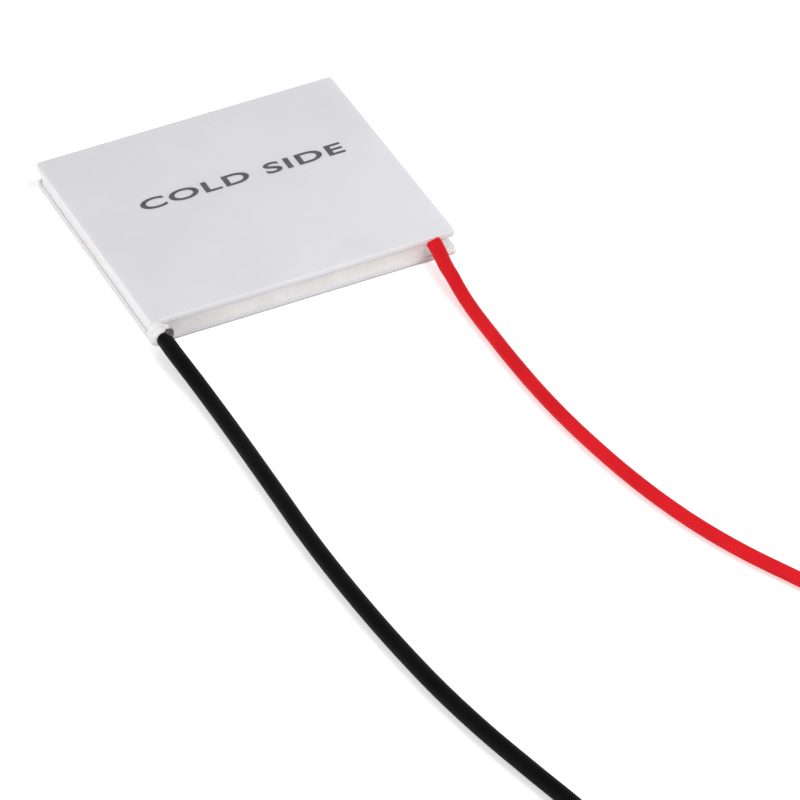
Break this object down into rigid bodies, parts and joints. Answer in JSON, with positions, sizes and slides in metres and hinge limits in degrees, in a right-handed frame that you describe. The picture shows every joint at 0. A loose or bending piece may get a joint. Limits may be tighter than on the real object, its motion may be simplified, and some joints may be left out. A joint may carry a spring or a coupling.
{
  "type": "thermoelectric cooling module",
  "caption": "Thin square sandwich of two white ceramic plates over a grid of semiconductor pellets, sealed round its edge, with a red and a black lead leaving one side.",
  "frame": {"origin": "middle of the hot plate's outer face, which the module rests on", "axes": "+Z from the hot side to the cold side, -Y the way the two leads leave, +X towards the red lead's side"},
  "size_m": [0.0576, 0.1907, 0.0033],
  "materials": {
    "alumina": "fine matt sintered ceramic",
    "silicone": "soft satin white sealant",
    "copper": "plain copper strip",
    "solder": "dull tin solder",
    "p_bismuth_telluride": "dark grey cut crystal",
    "n_bismuth_telluride": "grey cut crystal",
    "tinned_copper": "bright tinned strands",
    "black_insulation": "smooth flexible PVC",
    "red_insulation": "smooth flexible PVC"
  },
  "bodies": {
    "root": {"hot_plate": "alumina", "cold_plate": "alumina", "edge_sealant": "silicone", "hot_tabs": "copper", "cold_tabs": "copper", "cold_turn_tabs": "copper", "hot_solder": "solder", "cold_solder": "solder", "p_pellets_column_01": "p_bismuth_telluride", "p_pellets_column_02": "p_bismuth_telluride", "p_pellets_column_03": "p_bismuth_telluride", "p_pellets_column_04": "p_bismuth_telluride", "p_pellets_column_05": "p_bismuth_telluride", "p_pellets_column_06": "p_bismuth_telluride", "p_pellets_column_07": "p_bismuth_telluride", "p_pellets_column_08": "p_bismuth_telluride", "p_pellets_column_09": "p_bismuth_telluride", "p_pellets_column_10": "p_bismuth_telluride", "p_pellets_column_11": "p_bismuth_telluride", "p_pellets_column_12": "p_bismuth_telluride", "p_pellets_column_13": "p_bismuth_telluride", "p_pellets_column_14": "p_bismuth_telluride", "p_pellets_column_15": "p_bismuth_telluride", "p_pellets_column_16": "p_bismuth_telluride", "n_pellets_column_01": "n_bismuth_telluride", "n_pellets_column_02": "n_bismuth_telluride", "n_pellets_column_03": "n_bismuth_telluride", "n_pellets_column_04": "n_bismuth_telluride", "n_pellets_column_05": "n_bismuth_telluride", "n_pellets_column_06": "n_bismuth_telluride", "n_pellets_column_07": "n_bismuth_telluride", "n_pellets_column_08": "n_bismuth_telluride", "n_pellets_column_09": "n_bismuth_telluride", "n_pellets_column_10": "n_bismuth_telluride", "n_pellets_column_11": "n_bismuth_telluride", "n_pellets_column_12": "n_bismuth_telluride", "n_pellets_column_13": "n_bismuth_telluride", "n_pellets_column_14": "n_bismuth_telluride", "n_pellets_column_15": "n_bismuth_telluride", "n_pellets_column_16": "n_bismuth_telluride", "black_lead_pad": "copper", "black_lead_joint": "solder", "black_lead_conductor": "tinned_copper", "black_lead_seal": "silicone", "black_lead": "black_insulation", "black_lead_tip": "tinned_copper", "red_lead_pad": "copper", "red_lead_joint": "solder", "red_lead_conductor": "tinned_copper", "red_lead_seal": "silicone", "red_lead": "red_insulation", "red_lead_tip": "tinned_copper"}
  },
  "joints": []
}
